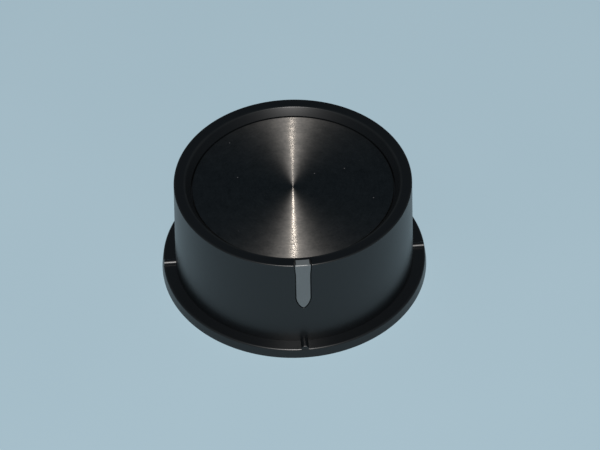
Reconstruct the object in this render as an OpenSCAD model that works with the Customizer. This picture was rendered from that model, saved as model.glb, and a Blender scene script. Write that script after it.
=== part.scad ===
// Flanged control knob with a spun metal disc, a side pointer and a hollow underside.
// Sizes are in millimetres. The knob stands on its flange at z = 0, it turns about Z,
// and the pointer and the middle of one flange rib face -Y.

/* [Body] */
// Diameter of the side where it meets the rim
body_d = 40; // [36:0.5:60]
// Height from the underside of the flange to the rim
knob_h = 19.3; // [18.5:0.1:30]
// Draft angle of the side
side_draft = 0.9; // [0:0.1:1.4]
// Thickness of the side wall
wall_t = 2; // [1.8:0.1:2.4]
// Thickness of the plate that carries the disc
plate_t = 2; // [1.8:0.1:2.6]
// Radius of the corner between the side wall and the plate, inside
inner_corner_r = 0.6; // [0.2:0.1:1]

/* [Rim] */
// Width of the flat rim
rim_w = 1.9; // [1.6:0.1:3]
// Distance that the slope inside the rim runs inwards
slope_w = 0.8; // [0.4:0.1:1.5]
// Depth of the face of the disc below the rim
disc_drop = 1.35; // [1.2:0.05:2]
// Radius of the outer edge of the rim
rim_edge_r = 0.2; // [0.1:0.05:0.4]
// Radius of the inner edge of the rim
rim_lip_r = 0.15; // [0.05:0.05:0.25]

/* [Flange] */
// Distance that the flange stands out beyond the side
flange_out = 2.35; // [1.5:0.05:5]
// Thickness of the flange
flange_t = 1.75; // [1.2:0.05:3]
// Draft angle of the edge of the flange
flange_draft = 7; // [0:1:8]
// Radius of the upper edge of the flange
flange_edge_r = 0.3; // [0.1:0.05:0.5]
// Radius of the corner between the flange and the side
flange_root_r = 0.05; // [0.05:0.05:0.5]

/* [Flange ribs] */
// Number of half-round ribs across the flange
rib_count = 4; // [2:1:8]
// Width of a rib
rib_w = 1.25; // [0.8:0.05:2]
// Radius of the outer end of a rib
rib_end_r = 0.2; // [0.1:0.05:0.3]
// Distance that a rib ends short of the edge of the flange
rib_inset = 0.05; // [0.03:0.01:0.2]

/* [Disc] */
// Thickness of the disc
disc_t = 1; // [0.6:0.1:1.5]
// Gap round the disc
disc_gap = 0.35; // [0.1:0.05:0.5]
// Bevel on the edges of the disc
disc_bevel = 0.1; // [0.05:0.05:0.3]
// Diameter of the turned pit in the middle of the disc
pit_d = 0.5; // [0.3:0.1:1]
// Depth of the turned pit
pit_depth = 0.12; // [0.05:0.01:0.3]
// Thickness of the adhesive film under the disc
film_t = 0.15; // [0.1:0.05:0.3]
// Distance from the edge of the disc to the edge of the film
film_inset = 0.8; // [0.2:0.1:3]

/* [Pointer] */
// Width of the pointer along its straight part
pointer_w = 2.35; // [1.6:0.05:4]
// Extra width at the top of the pointer, on each side
pointer_flare = 0.15; // [0.05:0.05:0.4]
// Height of the flared part
flare_h = 2.3; // [1:0.1:3]
// Length of the pointer down the side
pointer_len = 9.7; // [8.5:0.1:12]
// Full angle of the tip
tip_angle = 85; // [60:5:120]
// Radius at the very end of the tip
tip_r = 0.4; // [0.1:0.05:0.5]
// Radius of the shoulders above the tip
shoulder_r = 3; // [0.5:0.5:3]
// Depth of the pointer in the side wall
pointer_t = 1.1; // [0.8:0.1:1.3]
// Thickness of the tongue that crosses the rim
tongue_t = 0.9; // [0.6:0.1:1.1]
// Rim left between the tongue and the slope
tongue_lip = 0.45; // [0.35:0.05:0.6]
// Radius of the front edge at the top of the pointer
pointer_edge_r = 0.3; // [0.1:0.05:0.4]
// Width of the tongue
tongue_w = 2.25; // [1.4:0.05:2.4]
// Thickness of the wide front of the pointer beside the tongue
front_t = 0.3; // [0.2:0.05:0.5]
// Radius of the top corners of the pointer
pointer_corner_r = 0.22; // [0.1:0.02:0.3]
// Gap round the pointer, as seen from outside
pointer_gap = 0.15; // [0.05:0.01:0.2]
// Gap behind the pointer and round its peg
pointer_fit = 0.06; // [0.03:0.01:0.12]
// Diameter of the peg behind the pointer
peg_d = 1.2; // [0.8:0.1:1.6]
// Distance of the peg below the plate
peg_drop = 1.9; // [1.5:0.1:2.4]
// Diameter of the peg's staked head
peg_head_d = 1.9; // [1.8:0.1:2.4]
// Thickness of the peg's staked head
peg_head_t = 0.4; // [0.2:0.1:0.8]

/* [Shaft hub] */
// Diameter of the shaft that the knob is pushed onto
shaft_d = 6; // [4:0.1:6.4]
// Depth of the flat on the shaft
flat_cut = 1.5; // [0.5:0.1:1.8]
// Radial clearance in the D-shaped part of the bore
d_gap = 0.04; // [0.02:0.01:0.08]
// Radial clearance in the round mouth of the bore
mouth_gap = 0.25; // [0.2:0.01:0.3]
// Length of the round mouth
mouth_len = 3; // [2:0.1:4]
// Bevel that leads the shaft in
lead_in = 0.5; // [0.2:0.1:0.8]
// Thickness left above the blind end of the bore
bore_cover = 1.5; // [1:0.1:1.8]
// Diameter of the hub
hub_d = 11.4; // [10.4:0.1:14]
// Height of the hub's mouth above the panel, which leaves room for the nut of the shaft
hub_recess = 5; // [4.5:0.1:6]
// Bevel that leads the spring ring onto the hub
hub_bevel = 0.3; // [0.1:0.1:0.4]
// Width of the two slits that let the hub spring
slit_w = 1; // [0.6:0.1:1.5]
// Height of hub left whole above the slits
slit_stop = 1.7; // [1:0.1:2.5]

/* [Spring ring] */
// Thickness of the spring strip
ring_t = 0.4; // [0.3:0.05:0.6]
// Height of the spring strip
ring_h = 5; // [3:0.5:5.5]
// Opening of the ring
ring_gap = 2.5; // [1:0.5:5]
// Depth of the seat turned into the hub for the ring
ring_seat = 0.25; // [0.15:0.05:0.3]
// Height of the lip under the ring
ring_lip = 0.8; // [0.4:0.1:1.2]
// Play between the ring and the wall of its seat
ring_play = 0.02; // [0.01:0.01:0.05]
// Play above the ring in its seat
ring_end_play = 0.08; // [0.02:0.02:0.2]
// Direction that the opening of the ring faces, from the +X axis
ring_turn = 90; // [0:5:360]

/* [Webs] */
// Number of webs between the hub and the side wall
web_count = 4; // [3:1:6]
// Direction of the first web, from the +X axis
web_turn = 45; // [30:5:60]
// Thickness of a web
web_t = 1.2; // [0.8:0.1:1.6]
// Distance of the webs' lower edge above the mouth of the hub
web_lift = 0.5; // [0.2:0.1:1.5]
// Free space between the ring and the stepped part of a web
web_step = 1.6; // [0.8:0.1:2.5]
// Height of the notch above the ring
web_notch = 0.6; // [0.3:0.1:1]

/* [Hidden] */
$fn = 96;
arc_steps = 6;
past = 1;

body_colour = [0.06, 0.07, 0.08];
disc_colour = [0.12, 0.12, 0.13];
film_colour = [0.85, 0.83, 0.75];
pointer_colour = [0.42, 0.46, 0.48];
spring_colour = [0.66, 0.67, 0.68];

body_r = body_d / 2;
disc_face_z = knob_h - disc_drop;
disc_back_z = disc_face_z - disc_t;
seat_z = disc_back_z - film_t;
plate_under_z = seat_z - plate_t;
plate_mid_z = seat_z - plate_t / 2;

rim_in_r = body_r - rim_w;
seat_r = rim_in_r - slope_w;
disc_r = seat_r - disc_gap;
flange_top_r = body_r + flange_out;

shaft_r = shaft_d / 2;
mouth_r = shaft_r + mouth_gap;
mouth_top_z = hub_recess + lead_in + mouth_len;
bore_end_z = seat_z - bore_cover;
hub_r = hub_d / 2;
slit_top_z = plate_under_z - slit_stop;

ring_z = hub_recess + ring_lip;
ring_seat_r = hub_r - ring_seat;
ring_in_r = ring_seat_r + ring_play;
ring_seat_top_z = ring_z + ring_h + ring_end_play;

web_foot_z = hub_recess + web_lift;
web_notch_z = ring_seat_top_z + web_notch;
web_step_r = ring_in_r + ring_t + web_step;

tip_z = knob_h - pointer_len;
tongue_in_r = rim_in_r + tongue_lip;
leg_in_r = body_r - pointer_t;
peg_z = plate_under_z - peg_drop;

// Radius of the outer side at height z
function side_r(z) = body_r + (knob_h - z) * tan(side_draft);

// Radius of the inner side at height z
function inside_r(z) = side_r(z) - wall_t;

// Radius of the edge of the flange at height z
function flange_r(z) = flange_top_r + (flange_t - z) * tan(flange_draft);

function unit(v) = v / norm(v);
function point(corner) = [corner[0], corner[1]];

// The points that replace one corner [x, y, radius] by an arc tangent to both of its sides
function corner_arc(before, at, after) =
    let (
        to_before = unit(point(before) - point(at)),
        to_after = unit(point(after) - point(at)),
        half = acos(to_before * to_after) / 2,
        centre = point(at) + unit(to_before + to_after) * at[2] / sin(half),
        spoke = point(at) + to_before * at[2] / tan(half) - centre,
        first = atan2(spoke[1], spoke[0]),
        sweep = -sign(cross(to_before, to_after)) * (180 - 2 * half)
    )
    [for (k = [0 : arc_steps])
        let (angle = first + sweep * k / arc_steps)
        centre + at[2] * [cos(angle), sin(angle)]];

// An outline from its corners, each [x, y, radius]. A radius of 0 leaves the corner sharp.
function rounded(corners) =
    let (n = len(corners))
    [for (i = [0 : n - 1])
        each corners[i][2] == 0
            ? [point(corners[i])]
            : corner_arc(corners[(i + n - 1) % n], corners[i], corners[(i + 1) % n])];

// Half section of the moulded shell, from the open underside round the flange to the seat
shell_corners = [
    [inside_r(0), 0, 0],
    [flange_r(0), 0, 0],
    [flange_top_r, flange_t, flange_edge_r],
    [side_r(flange_t), flange_t, flange_root_r],
    [body_r, knob_h, rim_edge_r],
    [rim_in_r, knob_h, rim_lip_r],
    [seat_r, disc_face_z, 0],
    [seat_r, seat_z, 0],
    [0, seat_z, 0],
    [0, plate_under_z, 0],
    [inside_r(plate_under_z), plate_under_z, inner_corner_r]
];

// Half section of the hub, with the seat of the spring ring
hub_corners = [
    [0, hub_recess],
    [hub_r - hub_bevel, hub_recess],
    [hub_r, hub_recess + hub_bevel],
    [hub_r, ring_z],
    [ring_seat_r, ring_z],
    [ring_seat_r, ring_seat_top_z],
    [hub_r, ring_seat_top_z],
    [hub_r, plate_mid_z],
    [0, plate_mid_z]
];

// Half section of the room that a flange rib may fill, almost up to the edge of the flange
rib_room_corners = [
    [side_r(0) - wall_t / 2, flange_t - rib_w, 0],
    [flange_r(flange_t - rib_w) - rib_inset, flange_t - rib_w, 0],
    [flange_r(flange_t + rib_w / 2) - rib_inset, flange_t + rib_w / 2, rib_end_r],
    [side_r(0) - wall_t / 2, flange_t + rib_w / 2, 0]
];

// One web from the hub to the side wall, notched to clear the spring ring
web_corners = [
    [web_step_r, web_foot_z, 0],
    [inside_r(web_foot_z) + wall_t / 2, web_foot_z, 0],
    [inside_r(plate_mid_z) + wall_t / 2, plate_mid_z, 0],
    [ring_seat_r, plate_mid_z, 0],
    [ring_seat_r, web_notch_z, 0],
    [web_step_r, web_notch_z, web_notch]
];

// Front view of the pointer up to top_z, grown by gap for its pocket
function pointer_outline(gap, top_z, top_r) =
    let (
        w = pointer_w / 2 + gap,
        low_z = tip_z - tip_r * (1 / sin(tip_angle / 2) - 1) - gap / sin(tip_angle / 2),
        shoulder_z = low_z + w / tan(tip_angle / 2),
        flare_z = knob_h - flare_h,
        top_w = w + pointer_flare * (top_z - flare_z) / flare_h
    )
    rounded([
        [0, low_z, tip_r + gap],
        [w, shoulder_z, shoulder_r + gap],
        [w, flare_z, shoulder_r],
        [top_w, top_z, top_r],
        [-top_w, top_z, top_r],
        [-w, flare_z, shoulder_r],
        [-w, shoulder_z, shoulder_r + gap]
    ]);

// Half section of the pointer: a leg in the side wall and a tongue across the rim
pointer_section = [
    [leg_in_r, tip_z - past, 0],
    [side_r(tip_z - past), tip_z - past, 0],
    [body_r, knob_h, pointer_edge_r],
    [tongue_in_r, knob_h, rim_lip_r],
    [tongue_in_r, knob_h - tongue_t, 0],
    [leg_in_r, knob_h - tongue_t, 0]
];

// Half section of the pocket that takes the pointer
pocket_section = [
    [leg_in_r - pointer_fit, tip_z - past],
    [flange_top_r, tip_z - past],
    [flange_top_r, knob_h + past],
    [tongue_in_r - pointer_gap, knob_h + past],
    [tongue_in_r - pointer_gap, knob_h - tongue_t - pointer_fit],
    [leg_in_r - pointer_fit, knob_h - tongue_t - pointer_fit]
];

// A front view pushed through the -Y side of the knob
module through_front(outline) {
    rotate([90, 0, 0])
        linear_extrude(height = flange_top_r + past)
            polygon(outline);
}

// A bar along -Y from one distance off the axis to another
module front_bar(d, from_y, to_y, z) {
    translate([0, -from_y, z])
        rotate([90, 0, 0])
            cylinder(d = d, h = to_y - from_y);
}

module flange_ribs() {
    intersection() {
        rotate_extrude()
            polygon(rounded(rib_room_corners));
        for (i = [0 : rib_count - 1])
            rotate([0, 0, i * 360 / rib_count])
                front_bar(rib_w, body_r - wall_t, flange_top_r + past, flange_t);
    }
}

module webs() {
    for (i = [0 : web_count - 1])
        rotate([0, 0, web_turn + i * 360 / web_count])
            rotate([90, 0, 0])
                linear_extrude(height = web_t, center = true)
                    polygon(rounded(web_corners));
}

// The bore from below: a lead-in, a round mouth and a D-shaped blind end
module shaft_bore() {
    translate([0, 0, hub_recess - past])
        cylinder(r = mouth_r, h = mouth_top_z - hub_recess + past);
    translate([0, 0, hub_recess])
        cylinder(r1 = mouth_r + lead_in, r2 = mouth_r, h = lead_in);
    translate([0, 0, mouth_top_z - past])
        linear_extrude(height = bore_end_z - mouth_top_z + past)
            intersection() {
                circle(r = shaft_r + d_gap);
                translate([-shaft_d, -shaft_d])
                    square([2 * shaft_d, shaft_d + shaft_r - flat_cut + d_gap]);
            }
}

// The slits on both sides of the hub, with round upper ends
module hub_slits() {
    translate([-hub_d, -slit_w / 2, hub_recess - past])
        cube([2 * hub_d, slit_w, slit_top_z - slit_w / 2 - hub_recess + past]);
    translate([-hub_d, 0, slit_top_z - slit_w / 2])
        rotate([0, 90, 0])
            cylinder(d = slit_w, h = 2 * hub_d);
}

module pointer_pocket() {
    intersection() {
        rotate_extrude()
            polygon(pocket_section);
        through_front(pointer_outline(pointer_gap, knob_h + past, 0));
    }
    front_bar(peg_d + 2 * pointer_fit, inside_r(peg_z) - past, leg_in_r, peg_z);
}

module hub() {
    difference() {
        rotate_extrude()
            polygon(hub_corners);
        hub_slits();
    }
}

module knob_body() {
    color(body_colour)
        difference() {
            union() {
                rotate_extrude()
                    polygon(rounded(shell_corners));
                flange_ribs();
                webs();
                hub();
            }
            shaft_bore();
            pointer_pocket();
        }
}

module top_disc() {
    color(disc_colour)
        rotate_extrude()
            polygon([
                [0, disc_back_z],
                [disc_r - disc_bevel, disc_back_z],
                [disc_r, disc_back_z + disc_bevel],
                [disc_r, disc_face_z - disc_bevel],
                [disc_r - disc_bevel, disc_face_z],
                [pit_d / 2, disc_face_z],
                [0, disc_face_z - pit_depth]
            ]);
}

module disc_film() {
    color(film_colour)
        translate([0, 0, seat_z])
            cylinder(r = disc_r - film_inset, h = film_t);
}

// The room on both sides of the tongue, behind the wide front of the pointer
module tongue_sides() {
    for (side = [0, 1])
        mirror([side, 0, 0])
            translate([tongue_w / 2, front_t - body_r, knob_h - tongue_t])
                cube([pointer_w, body_r - tongue_in_r, tongue_t + past]);
}

module pointer() {
    head_r = peg_head_d / 2;
    head_y = sqrt(pow(inside_r(peg_z + head_r), 2) - pow(head_r, 2)) - pointer_fit;
    color(pointer_colour)
        union() {
            difference() {
                intersection() {
                    rotate_extrude()
                        polygon(rounded(pointer_section));
                    through_front(pointer_outline(0, knob_h, pointer_corner_r));
                }
                tongue_sides();
            }
            front_bar(peg_d, head_y - peg_head_t / 2, leg_in_r + pointer_t / 2, peg_z);
            front_bar(peg_head_d, head_y - peg_head_t, head_y, peg_z);
        }
}

module hub_spring_ring() {
    half_opening = asin(ring_gap / 2 / ring_in_r);
    color(spring_colour)
        translate([0, 0, ring_z])
            rotate([0, 0, ring_turn + half_opening])
                rotate_extrude(angle = 360 - 2 * half_opening)
                    translate([ring_in_r, 0])
                        square([ring_t, ring_h]);
}

knob_body();
top_disc();
disc_film();
pointer();
hub_spring_ring();
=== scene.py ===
"""A flanged control knob: a black moulding with a sunk spun disc, a grey pointer in its side
and a spring ring round the hub underneath.

Lengths are in millimetres and angles in degrees until they reach Blender. NEAR is how close
two points count as one place, and PAST is how far a cutting piece reaches beyond its cut."""

import math

import bmesh
import bpy
from mathutils import Matrix, Vector


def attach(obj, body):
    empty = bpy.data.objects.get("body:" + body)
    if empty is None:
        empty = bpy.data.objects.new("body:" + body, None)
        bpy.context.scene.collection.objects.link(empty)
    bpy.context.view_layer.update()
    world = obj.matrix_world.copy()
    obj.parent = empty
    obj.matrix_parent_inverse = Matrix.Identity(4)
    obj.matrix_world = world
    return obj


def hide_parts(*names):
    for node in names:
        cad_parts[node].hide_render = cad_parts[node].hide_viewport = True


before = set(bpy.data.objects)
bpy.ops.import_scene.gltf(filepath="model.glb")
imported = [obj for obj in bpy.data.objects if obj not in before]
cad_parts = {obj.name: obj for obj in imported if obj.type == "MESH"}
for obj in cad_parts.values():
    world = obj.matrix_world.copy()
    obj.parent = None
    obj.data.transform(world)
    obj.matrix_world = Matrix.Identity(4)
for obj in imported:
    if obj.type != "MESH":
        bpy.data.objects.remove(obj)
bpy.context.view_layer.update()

MM = 0.001
MERGE = 0.0005
EASE_MERGE = 0.005
NEAR = 0.01
EASE_NEAR = 0.02
PAST = 1.0
ROUND_STEPS = 360
FINE_STEPS = 720
POINTER_STEPS = 90
BODY_SMOOTH = 35
POINTER_SMOOTH = 40
PLAIN_SMOOTH = 32
EASED_BEND = 50

# Moulded body
BODY_R = 20.0
KNOB_H = 19.3
SIDE_DRAFT = 0.9
WALL_T = 2.0
RIM_IN_R = 18.1
RIM_EDGE_R = 0.2
RIM_LIP_R = 0.15
SEAT_R = 17.15
SEAT_Z = 16.8
PLATE_UNDER_Z = 14.8
PLATE_MID_Z = 15.8
SLOPE_FOOT_Z = 18.04
INNER_CORNER_R = 0.6
FLANGE_TOP_R = 22.35
FLANGE_T = 1.75
FLANGE_DRAFT = 7.0
FLANGE_EDGE_R = 0.3
RIB_R = 0.625
RIB_END_R = 0.2
RIB_INSET = 0.05

# Spun disc
DISC_R = 16.95
DISC_FACE_Z = 17.95
DISC_BACK_Z = 16.95
DISC_BEVEL = 0.1
PIT_R = 0.25
PIT_DEPTH = 0.12
PIT_EDGE_R = 0.04
GROOVE_W = 0.026
GROOVE_CUTS = 150
GROOVE_SLOPE = 1.1
GROOVE_LEAN = 0.65
GROOVE_LEAN_GAIN = 0.0195
CORE_ROUGHNESS = 0.257
HALO_ROUGHNESS = 0.41
HALO_SHARE = 0.79
DUST_SPACING = 4.5
DUST_RARITY = 0.8

# Pointer
POINTER_HALF_W = 1.175
POINTER_FLARE = 0.15
FLARE_H = 2.3
TIP_Z = 9.6
TIP_HALF_ANGLE = 42.5
TIP_R = 0.4
SHOULDER_R = 3.0
LEG_IN_R = 18.9
TONGUE_IN_R = 18.55
TONGUE_T = 0.9
TONGUE_HALF_W = 1.125
TONGUE_TOP_REACH = 0.2
TONGUE_TOP_MARGIN = 0.001
FRONT_T = 0.3
POINTER_CORNER_R = 0.22
POINTER_EDGE_R = 0.3
POINTER_GAP = 0.15
POINTER_FIT = 0.06
POINTER_EASE = 0.07
POCKET_EASE = 0.06
PEG_R = 0.6
PEG_Z = 12.9
PEG_HEAD_R = 0.95
PEG_HEAD_T = 0.4
PEG_HEAD_ROUND = 0.14
PEG_ROOT = 0.5

# Hub and bore
HUB_R = 5.7
HUB_FOOT_Z = 5.0
HUB_BEVEL = 0.3
RING_SEAT_R = 5.45
RING_SEAT_TOP_Z = 10.88
MOUTH_R = 3.25
LEAD_IN = 0.5
MOUTH_TOP_Z = 8.5
GRIP_R = 3.04
GRIP_FLAT_Y = 1.54
GRIP_FLAT_ROOT = 0.4
BORE_END_Z = 15.3
SLIT_W = 1.0
SLIT_TOP_Z = 13.1
SLIT_END_R = SLIT_W / 2 - 0.002

# Webs
WEB_T = 1.2
WEB_FOOT_Z = 5.5
WEB_STEP_R = 7.47
WEB_NOTCH_Z = 11.48
WEB_NOTCH_R = 0.6
WEB_EDGE_R = 0.15

# Spring ring
RING_IN_R = 5.47
RING_T = 0.4
RING_Z = 5.8
RING_H = 5.0
RING_OPENING = 2.5
RING_EDGE_R = 0.06

# Colours
BLACK = (0.004, 0.005, 0.006, 1)
# Lighter black of the edges: partly rubbed wear, partly a painted highlight
RUBBED_HIGHLIT_BLACK = (0.009, 0.0105, 0.0115, 1)
DARK_METAL = (0.15, 0.148, 0.143, 1)
LIGHT_METAL = (0.29, 0.275, 0.26, 1)
STREAK_TINT = (1.05, 0.985, 0.9)
DUST = (0.07, 0.07, 0.075, 1)
DARK_GREY = (0.092, 0.106, 0.113, 1)
LIGHT_GREY = (0.11, 0.124, 0.131, 1)
DARK_FILM = (0.62, 0.58, 0.46, 1)
LIGHT_FILM = (0.76, 0.72, 0.6, 1)
DARK_STEEL = (0.40, 0.40, 0.41, 1)
LIGHT_STEEL = (0.58, 0.58, 0.58, 1)
DARK_BENCH = (0.37, 0.515, 0.60, 1)
LIGHT_BENCH = (0.40, 0.545, 0.63, 1)
LAMP_COLOUR = (1.0, 0.975, 0.95)
SURROUND_COLOUR = (0.5, 0.75, 1.0, 1)
SURROUND_STRENGTH = 0.05

# Bench and camera
BENCH_R = 3000.0
BENCH_DROP = 0.02
LAMP_AIM_Z = 10.0
CAMERA_PLACE = (-32.852, -467.253, 478.296)
CAMERA_FORWARD = (0.051152, 0.704423, -0.707935)
CAMERA_ROLL = -0.972
CAMERA_LENS = 234.75
CAMERA_SENSOR = 36


def side_r(z):
    """Radius of the outer side at height z."""
    return BODY_R + (KNOB_H - z) * math.tan(math.radians(SIDE_DRAFT))


def inside_r(z):
    """Radius of the inner side at height z."""
    return side_r(z) - WALL_T


def flange_r(z):
    """Radius of the flange's edge at height z."""
    return FLANGE_TOP_R + (FLANGE_T - z) * math.tan(math.radians(FLANGE_DRAFT))


# Modelling

def rest_hands():
    """Leaves edit mode and lets go of everything that is selected."""
    if bpy.context.object and bpy.context.object.mode != "OBJECT":
        bpy.ops.object.mode_set(mode="OBJECT")
    bpy.ops.object.select_all(action="DESELECT")


def take(piece, mode="OBJECT"):
    """Selects one piece alone and opens it in the given mode."""
    rest_hands()
    piece.select_set(True)
    bpy.context.view_layer.objects.active = piece
    if mode != "OBJECT":
        bpy.ops.object.mode_set(mode=mode)


def settle(piece):
    """Puts a piece's place and turn into its mesh."""
    take(piece)
    bpy.ops.object.transform_apply(location=True, rotation=True, scale=True)


def drawn_line(name, points):
    """A line drawn point by point, left open in edit mode with everything selected."""
    rest_hands()
    first = Vector(points[0]) * MM
    bpy.ops.mesh.primitive_plane_add(size=MM, location=first)
    piece = bpy.context.object
    piece.name = name
    piece.data.name = name
    settle(piece)
    take(piece, "EDIT")
    bpy.ops.mesh.select_mode(type="VERT")
    bpy.ops.mesh.select_all(action="SELECT")
    bpy.ops.mesh.merge(type="CENTER")
    for last, point in zip(points, points[1:]):
        step = (Vector(point) - Vector(last)) * MM
        bpy.ops.mesh.extrude_region_move(TRANSFORM_OT_translate={"value": step})
    bpy.ops.mesh.select_all(action="SELECT")
    return piece


def close_up(piece):
    """Merges what meets and points every face outwards."""
    bpy.ops.mesh.select_all(action="SELECT")
    bpy.ops.mesh.remove_doubles(threshold=MERGE * MM)
    bpy.ops.mesh.normals_make_consistent(inside=False)
    if bmesh.from_edit_mesh(piece.data).calc_volume(signed=True) < 0:
        bpy.ops.mesh.flip_normals()


def pick_edges(piece, wanted):
    """Selects the edges for which wanted(one end, other end) holds, in millimetres."""
    bpy.ops.mesh.select_mode(type="EDGE")
    bpy.ops.mesh.select_all(action="DESELECT")
    mesh = bmesh.from_edit_mesh(piece.data)
    for edge in mesh.edges:
        one, other = edge.verts
        if wanted(one.co / MM, other.co / MM):
            edge.select_set(True)
    bmesh.update_edit_mesh(piece.data)


def tangent_length(before, corner, after):
    """Distance from a corner [a, b, rounding] to where its rounding starts."""
    at = Vector(corner[:2])
    half = (Vector(before[:2]) - at).angle(Vector(after[:2]) - at) / 2
    return corner[2] / math.tan(half)


def round_corners(piece, corners, closed, seen, segments):
    """Bevels the edges that stand on each rounded corner. seen maps a point to (a, b)."""
    count = len(corners)
    for i, corner in enumerate(corners):
        if corner[2] == 0 or (not closed and i in (0, count - 1)):
            continue
        at = Vector(corner[:2])
        pick_edges(piece, lambda *ends: all((Vector(seen(p)) - at).length < NEAR for p in ends))
        reach = tangent_length(corners[i - 1], corner, corners[(i + 1) % count])
        bpy.ops.mesh.bevel(
            offset=reach * MM, segments=segments, affect="EDGES", clamp_overlap=False
        )


def turned(name, corners, closed=False, steps=ROUND_STEPS, segments=6):
    """A piece turned about Z from its half section, each corner [radius, z, rounding]."""
    points = [(r, 0, z) for r, z, rounding in corners]
    if closed:
        points.append(points[0])
    piece = drawn_line(name, points)
    bpy.ops.mesh.spin(steps=steps, angle=2 * math.pi, center=(0, 0, 0), axis=(0, 0, 1))
    close_up(piece)
    round_corners(piece, corners, closed, lambda p: (math.hypot(p.x, p.y), p.z), segments)
    close_up(piece)
    rest_hands()
    return piece


def plate(name, corners, near, far, segments=8):
    """A flat-sided piece from y = near to y = far, each corner [x, z, rounding]."""
    piece = drawn_line(name, [(x, near, z) for x, z, rounding in corners])
    bpy.ops.mesh.edge_face_add()
    bpy.ops.mesh.select_all(action="SELECT")
    thickness = Vector((0, far - near, 0)) * MM
    bpy.ops.mesh.extrude_region_move(TRANSFORM_OT_translate={"value": thickness})
    close_up(piece)
    round_corners(piece, corners, True, lambda p: (p.x, p.z), segments)
    close_up(piece)
    rest_hands()
    return piece


def rod(name, radius, start, end, sides=48):
    """A round bar between two points."""
    rest_hands()
    start = Vector(start)
    end = Vector(end)
    along = end - start
    half_step = Matrix.Rotation(math.pi / sides, 4, "Z")
    turn = along.to_track_quat("Z", "Y").to_matrix().to_4x4() @ half_step
    bpy.ops.mesh.primitive_cylinder_add(
        vertices=sides,
        radius=radius * MM,
        depth=along.length * MM,
        location=(start + end) / 2 * MM,
        rotation=turn.to_euler(),
    )
    piece = bpy.context.object
    piece.name = name
    piece.data.name = name
    settle(piece)
    return piece


def combine(piece, tool, operation):
    """Adds, cuts or keeps what a tool shares with a piece, and uses the tool up."""
    step = piece.modifiers.new("step", "BOOLEAN")
    step.operation = operation
    step.solver = "EXACT"
    step.object = tool
    take(piece)
    bpy.ops.object.modifier_apply(modifier=step.name)
    mesh = tool.data
    bpy.data.objects.remove(tool)
    bpy.data.meshes.remove(mesh)


def turned_copy(piece, degrees):
    """A copy of a piece, turned about Z."""
    take(piece)
    bpy.ops.object.duplicate()
    copy = bpy.context.object
    bpy.ops.transform.rotate(
        value=math.radians(degrees), orient_axis="Z", center_override=(0, 0, 0)
    )
    settle(copy)
    return copy


def smooth(piece, degrees=PLAIN_SMOOTH):
    """Shades a piece smoothly over its small bends and flat on its large faces."""
    take(piece)
    bpy.ops.object.shade_smooth_by_angle(angle=math.radians(degrees))
    even = piece.modifiers.new("even", "WEIGHTED_NORMAL")
    even.keep_sharp = True
    bpy.ops.object.modifier_apply(modifier=even.name)


def hand_over(piece, node, material):
    """Gives a finished piece its material and its place in the frame."""
    piece.data.materials.clear()
    piece.data.materials.append(material)
    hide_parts(node)
    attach(piece, "root")


# Finishes

class Wire:
    """A socket of a finish that can stand in a sum."""

    def __init__(self, finish, socket):
        self.finish = finish
        self.socket = socket

    def reckon(self, operation, *values):
        """The wire of a new sum of these values."""
        return self.finish.node("ShaderNodeMath", {"operation": operation}, dict(enumerate(values)))

    def __add__(self, other):
        return self.reckon("ADD", self, other)

    def __radd__(self, other):
        return self.reckon("ADD", other, self)

    def __sub__(self, other):
        return self.reckon("SUBTRACT", self, other)

    def __rsub__(self, other):
        return self.reckon("SUBTRACT", other, self)

    def __mul__(self, other):
        return self.reckon("MULTIPLY", self, other)

    def __rmul__(self, other):
        return self.reckon("MULTIPLY", other, self)

    def __truediv__(self, other):
        return self.reckon("DIVIDE", self, other)

    def __pow__(self, other):
        return self.reckon("POWER", self, other)

    def floor(self):
        """The whole number below."""
        return self.reckon("FLOOR", self)


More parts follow.
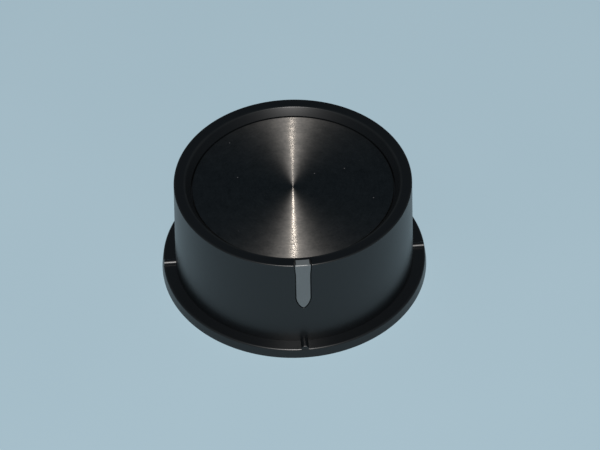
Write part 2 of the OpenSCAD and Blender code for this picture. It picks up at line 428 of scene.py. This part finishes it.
class Finish:
    """A material and the nodes that make it."""

    def __init__(self, name):
        self.material = bpy.data.materials.new(name)
        self.material.use_nodes = True
        self.tree = self.material.node_tree
        self.tree.nodes.clear()

    def node(self, kind, settings=None, inputs=None, output=0):
        """A new node with its settings, the values or wires of its sockets, and one output."""
        node = self.tree.nodes.new(kind)
        for key, value in (settings or {}).items():
            setattr(node, key, value)
        for key, value in (inputs or {}).items():
            if isinstance(value, Wire):
                self.tree.links.new(value.socket, node.inputs[key])
            else:
                node.inputs[key].default_value = value
        return Wire(self, node.outputs[output]) if node.outputs else None

    def place(self):
        """The place on the object, in metres."""
        return self.node("ShaderNodeTexCoord", output=3)

    def vector(self, operation, one, other=(0, 0, 0), output=0):
        """A sum of vectors. A single number comes out of output 1."""
        settings = {"operation": operation}
        return self.node("ShaderNodeVectorMath", settings, {0: one, 1: other}, output)

    def parts(self, vector):
        """The three parts of a vector."""
        return [self.node("ShaderNodeSeparateXYZ", None, {0: vector}, i) for i in range(3)]

    def built(self, x, y, z):
        """A vector from three parts."""
        return self.node("ShaderNodeCombineXYZ", None, {0: x, 1: y, 2: z})

    def from_axis(self, place):
        """Distance from the knob's axis, in metres."""
        return self.vector("LENGTH", self.vector("MULTIPLY", place, (1, 1, 0)), output=1)

    def noise(self, place, size, detail=2.0, roughness=0.5):
        """Noise from 0 to 1 whose lumps are about size millimetres across."""
        return self.node("ShaderNodeTexNoise", None, {
            "Vector": place,
            "Scale": 1 / (size * MM),
            "Detail": detail,
            "Roughness": roughness,
        })

    def between(self, value, low, high, at_low=0.0, at_high=1.0):
        """A smooth rise from at_low to at_high as the value goes from low to high."""
        return self.node("ShaderNodeMapRange", {"interpolation_type": "SMOOTHSTEP"}, {
            "Value": value,
            "From Min": low,
            "From Max": high,
            "To Min": at_low,
            "To Max": at_high,
        })

    def mixed(self, factor, one, other):
        """A colour between two colours."""
        return self.node("ShaderNodeMix", {"data_type": "RGBA"}, {0: factor, 6: one, 7: other}, 2)

    def bump(self, height, depth, strength):
        """A normal from a height of 0 to 1, depth in millimetres."""
        return self.node("ShaderNodeBump", None, {
            "Height": height,
            "Distance": depth * MM,
            "Strength": strength,
        })

    def surface(self, **sockets):
        """The main shader. An underscore in a socket's name stands for a space."""
        named = {key.replace("_", " "): value for key, value in sockets.items()}
        return self.node("ShaderNodeBsdfPrincipled", None, named)

    def done(self, shader):
        """The material, once this shader is its surface."""
        self.node("ShaderNodeOutputMaterial", None, {"Surface": shader})
        return self.material


def satin_black():
    """Moulded black plastic with a fine spark-eroded grain and slightly rubbed edges, lighter there
    partly as rubbed wear and partly as a painted highlight.
    """
    finish = Finish("satin_black")
    place = finish.place()
    height = finish.parts(place)[2]
    reach = finish.from_axis(place)
    grain = finish.noise(place, 0.16, 3.0, 0.6)
    patches = finish.noise(place, 6.0, 3.0, 0.6)
    # Lighter, glossier colour on the rim's outer edge, the rim's lip and the flange's edge: partly
    # rubbed wear, partly a painted highlight
    rubbed_and_highlit = 0
    for edge_r, edge_z in ((BODY_R, KNOB_H), (RIM_IN_R, KNOB_H), (FLANGE_TOP_R, FLANGE_T)):
        offset = finish.built(reach - edge_r * MM, 0, height - edge_z * MM)
        away = finish.vector("LENGTH", offset, output=1)
        rubbed_and_highlit = rubbed_and_highlit + finish.between(away, 0.08 * MM, 0.4 * MM, 1.0, 0.0)
    rubbed_and_highlit = rubbed_and_highlit * finish.between(patches, 0.3, 0.7, 0.5, 1.0)
    colour = finish.mixed(rubbed_and_highlit, BLACK, RUBBED_HIGHLIT_BLACK)
    return finish.done(finish.surface(
        Base_Color=colour,
        Roughness=0.3 + 0.06 * patches + 0.04 * grain - 0.04 * rubbed_and_highlit,
        IOR=1.45,
        Normal=finish.bump(grain, 0.012, 0.25),
    ))


def spun_disc_metal():
    """Black anodised metal with fine circular lines, which shines along a ray from its middle.

    The core is the bright narrow streak, made by short pieces of line that lean by chance, and
    the halo is the wide soft fan round it."""
    finish = Finish("spun_disc_metal")
    place = finish.place()
    reach = finish.from_axis(place)
    heading = finish.vector("NORMALIZE", finish.vector("MULTIPLY", place, (1, 1, 0)))
    hx, hy = finish.parts(heading)[:2]
    lines = finish.noise(finish.built(reach * 14.0, hx * 0.004, hy * 0.004), 1.0, 3.0, 0.7)
    rings = finish.noise(finish.built(reach, hx * 0.002, hy * 0.002), 0.35, 3.0, 0.7)
    mottle = finish.noise(place, 0.5, 3.0, 0.6)
    patches = finish.noise(place, 1.6, 2.0, 0.5)
    cell = finish.built(
        (reach / (GROOVE_W * MM)).floor(),
        (hx * GROOVE_CUTS).floor(),
        (hy * GROOVE_CUTS).floor(),
    )
    chance = finish.node("ShaderNodeTexWhiteNoise", {"noise_dimensions": "3D"}, {"Vector": cell})
    skew = GROOVE_LEAN + GROOVE_LEAN_GAIN / MM * reach
    lean = (2 * chance ** skew - 1) * GROOVE_SLOPE
    sideways = finish.node("ShaderNodeVectorTransform", {
        "vector_type": "VECTOR",
        "convert_from": "OBJECT",
        "convert_to": "WORLD",
    }, {"Vector": finish.vector("MULTIPLY", heading, finish.built(lean, lean, lean))})
    upright = finish.node("ShaderNodeNewGeometry", output=1)
    grooved = finish.vector("NORMALIZE", finish.vector("ADD", upright, sideways))
    tone = 0.9 * (rings + mottle + patches) - 0.85
    colour = finish.mixed(tone, DARK_METAL, LIGHT_METAL)
    warm = finish.vector("MULTIPLY", colour, STREAK_TINT)
    core = finish.surface(
        Base_Color=warm,
        Metallic=1.0,
        Roughness=CORE_ROUGHNESS,
        Anisotropic=1.0,
        Anisotropic_Rotation=0.25,
        Normal=grooved,
    )
    halo = finish.surface(
        Base_Color=colour,
        Metallic=1.0,
        Roughness=HALO_ROUGHNESS + 0.056 * lines,
        Anisotropic=0.85,
        Anisotropic_Rotation=0.25,
    )
    near_pit = finish.between(reach, 2 * MM, 8 * MM, 1.0, 0.0)
    near_edge = finish.between(reach, 13 * MM, 17 * MM)
    share = HALO_SHARE - 0.03 * near_pit + 0.085 * near_edge - 0.2 * (rings - 0.5)
    share = share + (0.035 + 0.045 * near_pit) * hy
    spun = finish.node("ShaderNodeMixShader", None, {0: share, 1: core, 2: halo})
    flat = {"voronoi_dimensions": "2D"}
    spacing = {"Vector": place, "Scale": 1 / (DUST_SPACING * MM)}
    specks = finish.node("ShaderNodeTexVoronoi", flat, spacing)
    spread = finish.node("ShaderNodeTexVoronoi", flat, spacing, 1)
    rare = finish.between(finish.parts(spread)[0], DUST_RARITY, DUST_RARITY + 0.02)
    dusty = finish.between(specks, 0.016, 0.026, 1.0, 0.0) * rare
    dust = finish.surface(Base_Color=DUST, Roughness=0.9)
    return finish.done(finish.node("ShaderNodeMixShader", None, {0: dusty, 1: spun, 2: dust}))


def pointer_grey():
    """Moulded grey plastic with a fine grain."""
    finish = Finish("pointer_grey")
    place = finish.place()
    grain = finish.noise(place, 0.14, 3.0, 0.6)
    patches = finish.noise(place, 2.0, 2.0, 0.5)
    colour = finish.mixed(patches, DARK_GREY, LIGHT_GREY)
    return finish.done(finish.surface(
        Base_Color=colour,
        Roughness=0.28 + 0.08 * grain,
        Normal=finish.bump(grain, 0.01, 0.25),
    ))


def film_ivory():
    """Double-sided adhesive film with fine fibres."""
    finish = Finish("film_ivory")
    place = finish.place()
    fibres = finish.noise(finish.vector("MULTIPLY", place, (1, 4, 1)), 0.5, 4.0, 0.7)
    colour = finish.mixed(fibres, DARK_FILM, LIGHT_FILM)
    return finish.done(finish.surface(
        Base_Color=colour,
        Roughness=0.5 + 0.15 * fibres,
        Normal=finish.bump(fibres, 0.02, 0.3),
    ))


def rolled_spring_steel():
    """Rolled spring strip, with its fine lines running round the ring."""
    finish = Finish("rolled_spring_steel")
    place = finish.place()
    height = finish.parts(place)[2]
    heading = finish.vector("NORMALIZE", finish.vector("MULTIPLY", place, (1, 1, 0)))
    hx, hy = finish.parts(heading)[:2]
    lines = finish.noise(finish.built(height * 12.0, hx * 0.003, hy * 0.003), 1.0, 3.0, 0.6)
    colour = finish.mixed(lines, DARK_STEEL, LIGHT_STEEL)
    return finish.done(finish.surface(
        Base_Color=colour,
        Metallic=1.0,
        Roughness=0.24 + 0.14 * lines,
        Normal=finish.bump(lines, 0.006, 0.3),
    ))


def pale_bench():
    """The plain pale surface that the knob stands on."""
    finish = Finish("pale_bench")
    place = finish.place()
    cloud = finish.noise(place, 60.0, 2.0, 0.5)
    colour = finish.mixed(cloud, DARK_BENCH, LIGHT_BENCH)
    return finish.done(finish.surface(Base_Color=colour, Roughness=0.85))


# Pieces

def body_section():
    """Half section of the body, from the seat of the disc round to the end of the bore."""
    return [
        [0, SEAT_Z, 0],
        [SEAT_R, SEAT_Z, 0],
        [SEAT_R, SLOPE_FOOT_Z, 0],
        [RIM_IN_R, KNOB_H, RIM_LIP_R],
        [BODY_R, KNOB_H, RIM_EDGE_R],
        [side_r(FLANGE_T), FLANGE_T, 0],
        [FLANGE_TOP_R, FLANGE_T, FLANGE_EDGE_R],
        [flange_r(0), 0, 0],
        [inside_r(0), 0, 0],
        [inside_r(PLATE_UNDER_Z), PLATE_UNDER_Z, INNER_CORNER_R],
        [HUB_R, PLATE_UNDER_Z, 0],
        [HUB_R, RING_SEAT_TOP_Z, 0],
        [RING_SEAT_R, RING_SEAT_TOP_Z, 0],
        [RING_SEAT_R, RING_Z, 0],
        [HUB_R, RING_Z, 0],
        [HUB_R, HUB_FOOT_Z + HUB_BEVEL, 0],
        [HUB_R - HUB_BEVEL, HUB_FOOT_Z, 0],
        [MOUTH_R + LEAD_IN, HUB_FOOT_Z, 0],
        [MOUTH_R, HUB_FOOT_Z + LEAD_IN, 0],
        [MOUTH_R, MOUTH_TOP_Z, 0],
        [GRIP_R, MOUTH_TOP_Z, 0],
        [GRIP_R, BORE_END_Z, 0],
        [0, BORE_END_Z, 0],
    ]


def pointer_outline(gap, top_z, top_round):
    """Front view of the pointer up to top_z, grown by gap for its pocket."""
    w = POINTER_HALF_W + gap
    half_angle = math.radians(TIP_HALF_ANGLE)
    low_z = TIP_Z - (TIP_R + gap) / math.sin(half_angle) + TIP_R
    shoulder_z = low_z + w / math.tan(half_angle)
    flare_z = KNOB_H - FLARE_H
    top_w = w + POINTER_FLARE * (top_z - flare_z) / FLARE_H
    return [
        [0, low_z, TIP_R + gap],
        [w, shoulder_z, SHOULDER_R + gap],
        [w, flare_z, SHOULDER_R],
        [top_w, top_z, top_round],
        [-top_w, top_z, top_round],
        [-w, flare_z, SHOULDER_R],
        [-w, shoulder_z, SHOULDER_R + gap],
    ]


def flange_rib():
    """One half-round rib across the flange, ending just short of the flange's drafted edge."""
    room = turned("rib_room", [
        [side_r(0) - WALL_T / 2, FLANGE_T - 2 * RIB_R, 0],
        [flange_r(FLANGE_T - 2 * RIB_R) - RIB_INSET, FLANGE_T - 2 * RIB_R, 0],
        [flange_r(FLANGE_T + RIB_R) - RIB_INSET, FLANGE_T + RIB_R, RIB_END_R],
        [side_r(0) - WALL_T / 2, FLANGE_T + RIB_R, 0],
    ], closed=True, steps=FINE_STEPS)
    start = (BODY_R - WALL_T, 0, FLANGE_T)
    end = (FLANGE_TOP_R + PAST, 0, FLANGE_T)
    rib = rod("flange_rib", RIB_R, start, end)
    combine(rib, room, "INTERSECT")
    return rib


def web():
    """One web between the hub and the side, notched round the spring ring."""
    piece = plate("web", [
        [WEB_STEP_R, WEB_FOOT_Z, 0],
        [inside_r(WEB_FOOT_Z) + WALL_T / 2, WEB_FOOT_Z, 0],
        [inside_r(PLATE_MID_Z) + WALL_T / 2, PLATE_MID_Z, 0],
        [RING_SEAT_R, PLATE_MID_Z, 0],
        [RING_SEAT_R, WEB_NOTCH_Z, 0],
        [WEB_STEP_R, WEB_NOTCH_Z, WEB_NOTCH_R],
    ], -WEB_T / 2, WEB_T / 2)
    take(piece, "EDIT")
    pick_edges(piece, lambda *ends: all(abs(p.z - WEB_FOOT_Z) < NEAR for p in ends))
    bpy.ops.mesh.bevel(offset=WEB_EDGE_R * MM, segments=4, affect="EDGES")
    rest_hands()
    return piece


def pointer_pocket():
    """The room that the pointer and its peg take out of the body."""
    inner_z = KNOB_H - TONGUE_T - POINTER_FIT
    pocket = turned("pocket", [
        [LEG_IN_R - POINTER_FIT, TIP_Z - PAST, 0],
        [FLANGE_TOP_R, TIP_Z - PAST, 0],
        [FLANGE_TOP_R, KNOB_H + PAST, 0],
        [TONGUE_IN_R - POINTER_GAP, KNOB_H + PAST, 0],
        [TONGUE_IN_R - POINTER_GAP, inner_z, 0],
        [LEG_IN_R - POINTER_FIT, inner_z, 0],
    ], closed=True, steps=FINE_STEPS)
    outline = pointer_outline(POINTER_GAP, KNOB_H + PAST, 0)
    front = plate("front", outline, -FLANGE_TOP_R - PAST, 0)
    combine(pocket, front, "INTERSECT")
    return pocket


def moulded_body():
    """The black moulding: side, rim, flange with ribs, plate, hub and webs in one."""
    body = turned("moulded_body", body_section())
    flat = plate("flat", [
        [-GRIP_R, MOUTH_TOP_Z - NEAR, 0],
        [GRIP_R, MOUTH_TOP_Z - NEAR, 0],
        [GRIP_R, BORE_END_Z + GRIP_FLAT_ROOT, 0],
        [-GRIP_R, BORE_END_Z + GRIP_FLAT_ROOT, 0],
    ], GRIP_FLAT_Y, GRIP_R + GRIP_FLAT_ROOT)
    combine(body, flat, "UNION")
    slit = plate("slit", [
        [-SLIT_W / 2, HUB_FOOT_Z - PAST, 0],
        [SLIT_W / 2, HUB_FOOT_Z - PAST, 0],
        [SLIT_W / 2, SLIT_TOP_Z, SLIT_END_R],
        [-SLIT_W / 2, SLIT_TOP_Z, SLIT_END_R],
    ], -HUB_R - PAST, HUB_R + PAST)
    cross_slit = turned_copy(slit, 90)
    bpy.data.objects.remove(slit)
    combine(body, cross_slit, "DIFFERENCE")
    one_rib = flange_rib()
    one_web = web()
    for quarter in range(4):
        combine(body, turned_copy(one_rib, 90 * quarter), "UNION")
        combine(body, turned_copy(one_web, 45 + 90 * quarter), "UNION")
    bpy.data.objects.remove(one_rib)
    bpy.data.objects.remove(one_web)
    combine(body, pointer_pocket(), "DIFFERENCE")
    peg_hole = rod(
        "peg_hole",
        PEG_R + POINTER_FIT,
        (0, -inside_r(PEG_Z) + PAST, PEG_Z),
        (0, -LEG_IN_R, PEG_Z),
    )
    combine(body, peg_hole, "DIFFERENCE")
    ease_edges(body, POINTER_GAP, POCKET_EASE, KNOB_H + PAST)
    smooth(body, BODY_SMOOTH)
    return body


def on_outside(point):
    """Whether a point lies on the outer side or on the rim."""
    reach = math.hypot(point.x, point.y)
    on_side = abs(reach - side_r(point.z)) < EASE_NEAR
    return on_side or point.z > KNOB_H - POINTER_EDGE_R - EASE_NEAR


def ease_edges(piece, gap, ease, top_z):
    """Eases the outer edges of the pointer, or of its pocket, where they lie below top_z.

    The edge behind the tongue stays sharp. The gap is the one round the pointer."""
    take(piece, "EDIT")
    bpy.ops.mesh.select_all(action="SELECT")
    bpy.ops.mesh.remove_doubles(threshold=EASE_MERGE * MM)
    bpy.ops.mesh.select_mode(type="EDGE")
    bpy.ops.mesh.select_all(action="DESELECT")
    mesh = bmesh.from_edit_mesh(piece.data)
    reach_x = POINTER_HALF_W + POINTER_FLARE + gap + EASE_NEAR
    tongue_end_r = TONGUE_IN_R - gap + EASE_NEAR
    for edge in mesh.edges:
        ends = [vert.co / MM for vert in edge.verts]
        inside_box = all(
            abs(p.x) < reach_x and p.y < -RIM_IN_R and TIP_Z - PAST < p.z < top_z
            for p in ends
        )
        bent = len(edge.link_faces) == 2 and edge.calc_face_angle() > math.radians(EASED_BEND)
        behind_tongue = all(math.hypot(p.x, p.y) < tongue_end_r for p in ends)
        if inside_box and bent and not behind_tongue and all(on_outside(p) for p in ends):
            edge.select_set(True)
    bmesh.update_edit_mesh(piece.data)
    bpy.ops.mesh.bevel(offset=ease * MM, segments=3, affect="EDGES")
    close_up(piece)
    rest_hands()


def side_pointer():
    """The grey pointer: a leg in the side, a tongue across the rim and a staked peg behind."""
    pointer = turned("side_pointer", [
        [LEG_IN_R, TIP_Z - PAST, 0],
        [side_r(TIP_Z - PAST), TIP_Z - PAST, 0],
        [BODY_R, KNOB_H, POINTER_EDGE_R],
        [TONGUE_IN_R, KNOB_H, RIM_LIP_R],
        [TONGUE_IN_R, KNOB_H - TONGUE_T, 0],
        [LEG_IN_R, KNOB_H - TONGUE_T, 0],
    ], closed=True, steps=POINTER_STEPS)
    outline = pointer_outline(0, KNOB_H, POINTER_CORNER_R)
    front = plate("front", outline, -FLANGE_TOP_R - PAST, 0)
    combine(pointer, front, "INTERSECT")
    ease_edges(pointer, 0, POINTER_EASE, KNOB_H - POINTER_EDGE_R + EASE_NEAR)
    over_top_x = TONGUE_HALF_W - TONGUE_TOP_REACH
    over_top_z = KNOB_H + TONGUE_TOP_MARGIN
    for side in (-1, 1):
        beside_tongue = plate("beside_tongue", [
            [side * TONGUE_HALF_W, KNOB_H - TONGUE_T, 0],
            [side * 2 * POINTER_HALF_W, KNOB_H - TONGUE_T, 0],
            [side * 2 * POINTER_HALF_W, KNOB_H + PAST, 0],
            [side * over_top_x, KNOB_H + PAST, 0],
            [side * over_top_x, over_top_z, 0],
            [side * TONGUE_HALF_W, over_top_z, POINTER_EASE],
        ], FRONT_T - BODY_R, FRONT_T - TONGUE_IN_R)
        combine(pointer, beside_tongue, "DIFFERENCE")
    head_in = inside_r(PEG_Z + PEG_HEAD_R) ** 2 - PEG_HEAD_R ** 2
    head_y = math.sqrt(head_in) - POINTER_FIT
    inner_y = -head_y + PEG_HEAD_T
    peg_end_y = -head_y + PEG_HEAD_T / 2
    peg = rod("peg", PEG_R, (0, peg_end_y, PEG_Z), (0, -LEG_IN_R - PEG_ROOT, PEG_Z))
    combine(pointer, peg, "UNION")
    head = rod("head", PEG_HEAD_R, (0, inner_y, PEG_Z), (0, -head_y, PEG_Z))
    take(head, "EDIT")
    pick_edges(head, lambda *ends: all(abs(p.y - inner_y) < NEAR for p in ends))
    bpy.ops.mesh.bevel(offset=PEG_HEAD_ROUND * MM, segments=4, affect="EDGES")
    rest_hands()
    combine(pointer, head, "UNION")
    smooth(pointer, POINTER_SMOOTH)
    return pointer


def spun_disc():
    """The metal disc with its turned pit."""
    disc = turned("spun_disc", [
        [0, DISC_BACK_Z, 0],
        [DISC_R - DISC_BEVEL, DISC_BACK_Z, 0],
        [DISC_R, DISC_BACK_Z + DISC_BEVEL, 0],
        [DISC_R, DISC_FACE_Z, DISC_BEVEL],
        [PIT_R, DISC_FACE_Z, PIT_EDGE_R],
        [0, DISC_FACE_Z - PIT_DEPTH, 0],
    ])
    smooth(disc)
    return disc


def spring_ring():
    """The open spring ring round the hub, its opening away from the pointer."""
    half_opening = math.asin(RING_OPENING / 2 / RING_IN_R)
    start = math.pi / 2 + half_opening
    radii = (RING_IN_R, RING_IN_R + RING_T)
    corners = [(r * math.cos(start), r * math.sin(start)) for r in radii]
    ring = drawn_line("spring_ring", [
        (*corners[0], RING_Z),
        (*corners[1], RING_Z),
        (*corners[1], RING_Z + RING_H),
        (*corners[0], RING_Z + RING_H),
    ])
    bpy.ops.mesh.edge_face_add()
    bpy.ops.mesh.select_all(action="SELECT")
    sweep = 2 * math.pi - 2 * half_opening
    bpy.ops.mesh.spin(steps=180, angle=sweep, center=(0, 0, 0), axis=(0, 0, 1))
    close_up(ring)
    mesh = bmesh.from_edit_mesh(ring.data)
    bpy.ops.mesh.select_mode(type="EDGE")
    bpy.ops.mesh.select_all(action="DESELECT")
    for edge in mesh.edges:
        if len(edge.link_faces) == 2 and edge.calc_face_angle() > math.radians(EASED_BEND):
            edge.select_set(True)
    bmesh.update_edit_mesh(ring.data)
    bpy.ops.mesh.bevel(offset=RING_EDGE_R * MM, segments=2, affect="EDGES")
    close_up(ring)
    smooth(ring)
    return ring


# Scene

def bench():
    """The wide pale floor."""
    rest_hands()
    bpy.ops.mesh.primitive_circle_add(
        vertices=96, radius=BENCH_R * MM, fill_type="NGON", location=(0, 0, 0)
    )
    floor = bpy.context.object
    floor.name = "bench"
    take(floor, "EDIT")
    bpy.ops.mesh.select_all(action="SELECT")
    bpy.ops.transform.translate(value=(0, 0, -BENCH_DROP * MM))
    rest_hands()
    floor.data.materials.append(pale_bench())


def lamp(name, heading, rise, distance, width, length, watts, colour):
    """A soft lamp that looks at the knob, its heading from -Y towards +X.

    Its distance, width and length are in metres."""
    turn = math.radians(heading)
    up = math.radians(rise)
    aim = Vector((0, 0, LAMP_AIM_Z * MM))
    back = Vector((math.sin(turn) * math.cos(up), -math.cos(turn) * math.cos(up), math.sin(up)))
    rest_hands()
    facing = (-back).to_track_quat("-Z", "Y").to_euler()
    bpy.ops.object.light_add(type="AREA", location=aim + back * distance, rotation=facing)
    light = bpy.context.object
    light.name = name
    light.data.shape = "RECTANGLE"
    light.data.size = width
    light.data.size_y = length
    light.data.energy = watts
    light.data.color = colour


def studio():
    """One soft lamp and a plain dim surround."""
    lamp(
        "front_lamp",
        heading=-3.9,
        rise=55,
        distance=2.5,
        width=0.1,
        length=0.8,
        watts=72,
        colour=LAMP_COLOUR,
    )
    world = bpy.data.worlds.new("surround")
    bpy.context.scene.world = world
    world.use_nodes = True
    background = world.node_tree.nodes["Background"]
    background.inputs["Color"].default_value = SURROUND_COLOUR
    background.inputs["Strength"].default_value = SURROUND_STRENGTH


def viewpoint():
    """The camera, placed as the photograph was taken."""
    rest_hands()
    place = Vector(CAMERA_PLACE) * MM
    forward = Vector(CAMERA_FORWARD).normalized()
    roll = math.radians(CAMERA_ROLL)
    right = forward.cross(Vector((0, 0, 1))).normalized()
    up = right.cross(forward)
    x_axis = math.cos(roll) * right + math.sin(roll) * up
    y_axis = -math.sin(roll) * right + math.cos(roll) * up
    turn = Matrix((x_axis, y_axis, -forward)).transposed()
    bpy.ops.object.camera_add(location=place, rotation=turn.to_euler())
    camera = bpy.context.object
    camera.name = "viewpoint"
    camera.data.lens = CAMERA_LENS
    camera.data.sensor_width = CAMERA_SENSOR
    camera.data.clip_start = 0.01
    camera.data.clip_end = 20
    bpy.context.scene.camera = camera


# The knob in its place

rest_hands()
hand_over(moulded_body(), "knob_body", satin_black())
hand_over(side_pointer(), "pointer", pointer_grey())
hand_over(spun_disc(), "top_disc", spun_disc_metal())
hand_over(spring_ring(), "hub_spring_ring", rolled_spring_steel())
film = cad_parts["disc_film"]
for slot in film.material_slots:
    slot.material = film_ivory()

bench()
studio()
viewpoint()
bpy.context.scene.view_settings.view_transform = "Standard"

rest_hands()
